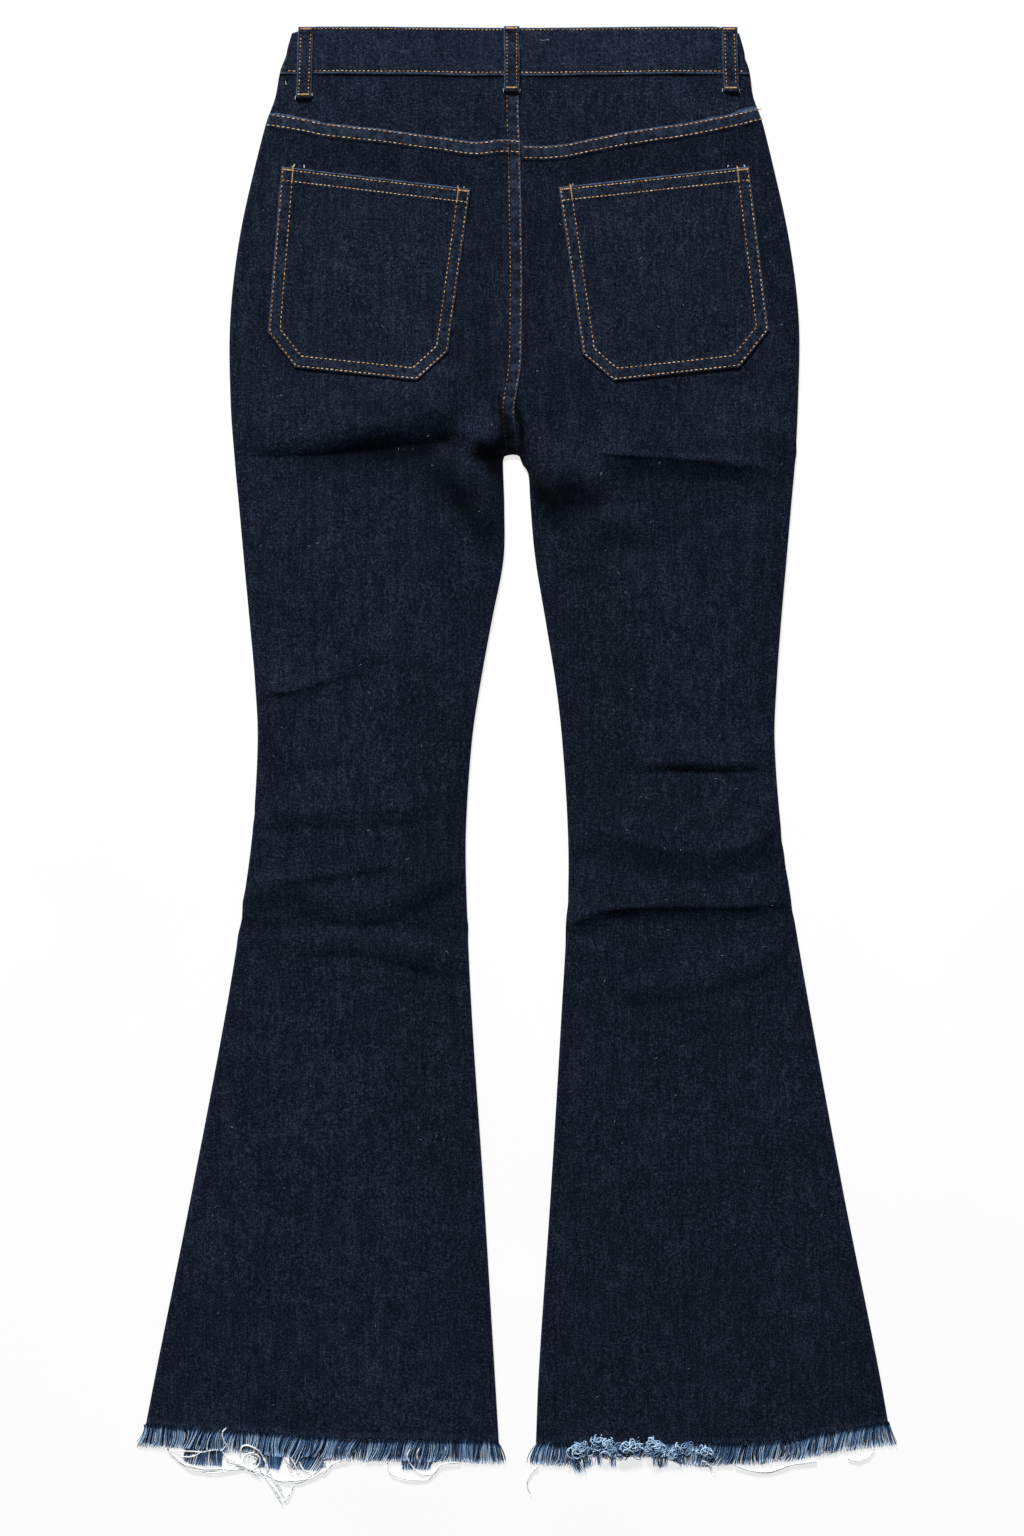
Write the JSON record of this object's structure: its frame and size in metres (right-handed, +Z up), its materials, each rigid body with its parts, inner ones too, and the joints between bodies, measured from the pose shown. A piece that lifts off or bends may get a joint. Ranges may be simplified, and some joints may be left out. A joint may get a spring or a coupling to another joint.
{
  "type": "flared jeans",
  "caption": "High-waisted flared jeans lying flat, back up, with a V yoke, patch pockets with cut corners, belt loops and a raw frayed hem.",
  "frame": {"origin": "on the surface that the jeans lie on, below the middle of their box", "axes": "+Y from the hems to the waist, +Z up from the surface through the front and then the back, +X towards the wearer's right"},
  "size_m": [0.6037, 1.1545, 0.0137],
  "materials": {
    "denim": "matte twill",
    "frayed_denim": "frayed yarn",
    "topstitch": "twisted thread",
    "zip_metal": "satin",
    "button_metal": "aged satin"
  },
  "bodies": {
    "root": {"waistband": "denim", "yoke_left": "denim", "yoke_right": "denim", "back_left": "denim", "back_right": "denim", "front_left": "denim", "front_right": "denim", "pocket_left": "denim", "pocket_right": "denim", "loop_left": "denim", "loop_centre": "denim", "loop_right": "denim", "loop_front_left": "denim", "loop_front_right": "denim", "fringe_back_left": "frayed_denim", "fringe_back_right": "frayed_denim", "fringe_front_left": "frayed_denim", "fringe_front_right": "frayed_denim", "fly_zip": "zip_metal", "zip_slider": "zip_metal", "waist_button": "button_metal"}
  },
  "joints": []
}
